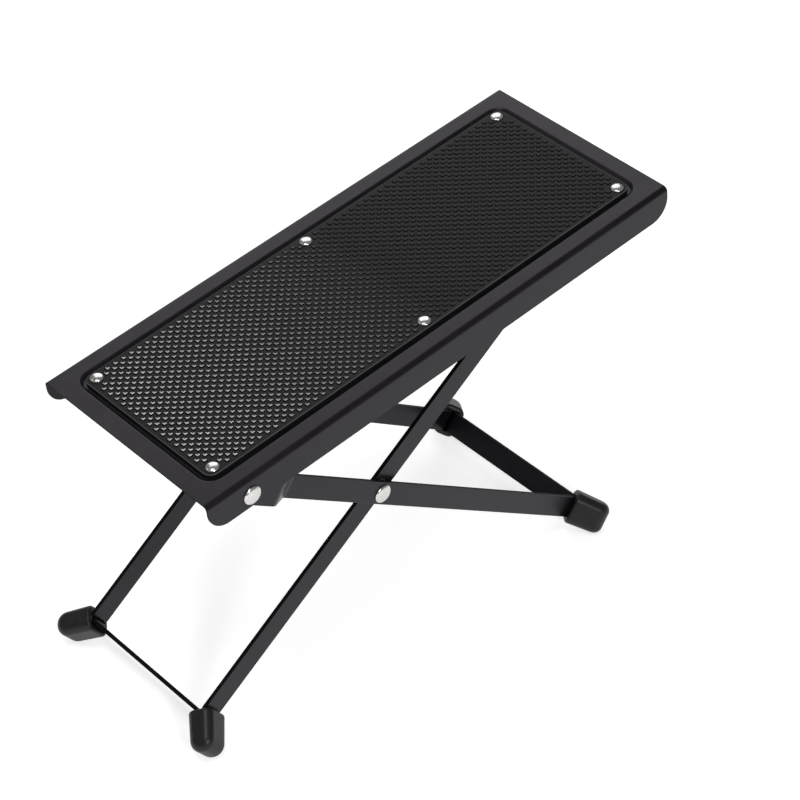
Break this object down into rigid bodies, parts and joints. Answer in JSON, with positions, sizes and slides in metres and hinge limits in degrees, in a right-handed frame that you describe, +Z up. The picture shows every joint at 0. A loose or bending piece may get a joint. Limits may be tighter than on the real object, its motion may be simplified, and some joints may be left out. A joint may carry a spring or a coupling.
{
  "type": "guitar footrest",
  "caption": "Folding steel footrest with a studded rubber tread on a tilted plate, carried by two crossed strip frames with rubber feet.",
  "frame": {"origin": "on the floor under the middle of the footrest's bounding box, at its highest setting", "axes": "+Z up, +X from the low end of the tread to its high end, +Y to the far side"},
  "size_m": [0.2754, 0.118, 0.1929],
  "materials": {
    "plate_paint": "satin",
    "frame_paint": "satin",
    "mat_rubber": "matte",
    "foot_rubber": "satin",
    "rivet_nickel": "polished",
    "zinc_steel": "satin"
  },
  "bodies": {
    "plate": {"top_plate": "plate_paint", "rubber_mat": "mat_rubber", "mat_rivet_1": "rivet_nickel", "mat_rivet_2": "rivet_nickel", "mat_rivet_3": "rivet_nickel", "mat_rivet_4": "rivet_nickel", "mat_rivet_5": "rivet_nickel", "mat_rivet_6": "rivet_nickel", "notch_rack_near": "plate_paint", "notch_rack_far": "plate_paint", "plate_pivot_rivet_near": "rivet_nickel", "plate_pivot_rivet_far": "rivet_nickel"},
    "rear_legs": {"rear_leg_frame": "frame_paint", "plate_pivot_washer_near": "zinc_steel", "plate_pivot_washer_far": "zinc_steel", "scissor_rivet_near": "rivet_nickel", "scissor_rivet_far": "rivet_nickel", "scissor_washer_near": "zinc_steel", "scissor_washer_far": "zinc_steel", "foot_cap_rear_near": "foot_rubber", "foot_cap_rear_far": "foot_rubber"},
    "front_legs": {"front_leg_frame": "frame_paint", "height_rod": "zinc_steel", "foot_cap_front_near": "foot_rubber", "foot_cap_front_far": "foot_rubber"}
  },
  "joints": [
    {"name": "rear_leg_hinge", "type": "hinge", "parent": "plate", "child": "rear_legs", "pos_m": [-0.10889, 0, 0.14402], "axis": [0, -1, 0], "range_deg": [0, 40.04]},
    {"name": "front_leg_hinge", "type": "hinge", "parent": "rear_legs", "child": "front_legs", "pos_m": [-0.02479, 0, 0.09235], "axis": [0, 1, 0], "range_deg": [0, 70.1]}
  ],
  "couplings": [
    {"joint": "front_leg_hinge", "follows": "rear_leg_hinge", "ratio": 1.7507}
  ]
}
